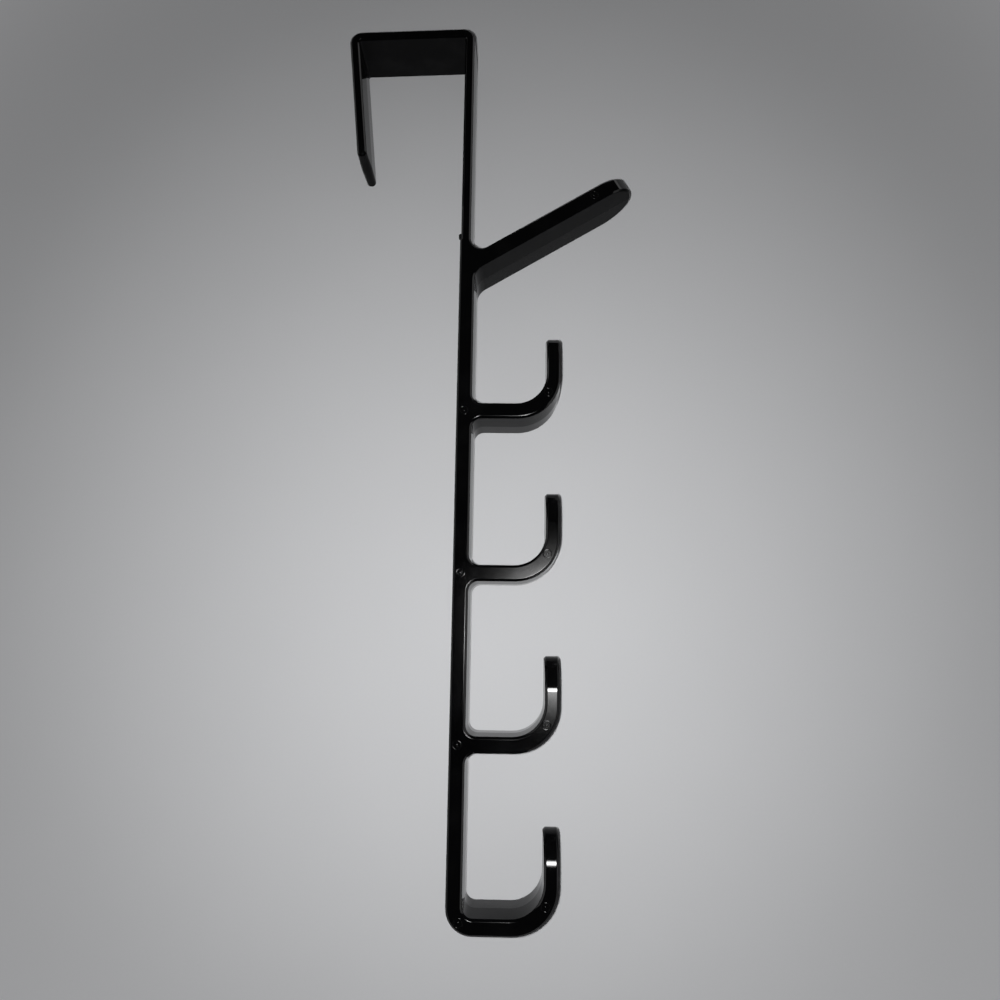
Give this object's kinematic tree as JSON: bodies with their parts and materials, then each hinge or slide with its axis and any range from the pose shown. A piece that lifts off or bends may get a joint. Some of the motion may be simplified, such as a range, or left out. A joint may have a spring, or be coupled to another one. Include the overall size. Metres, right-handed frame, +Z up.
{
  "type": "over-door hook",
  "caption": "Moulded over-door hanger: a clip that hooks over a door's top edge, a straight spine, a slanted peg and a column of J-shaped hooks.",
  "frame": {"origin": "in the plane of the door face that the thick spine rests on, level with the underside of the bridge at its front corner, at mid-width", "axes": "+Z up as hung, +X away from the door, Y across the blade"},
  "size_m": [0.1187, 0.0266, 0.3593],
  "materials": {
    "body": "glossy black, as moulded"
  },
  "bodies": {
    "root": {"over_door_hook": "body"}
  },
  "joints": []
}
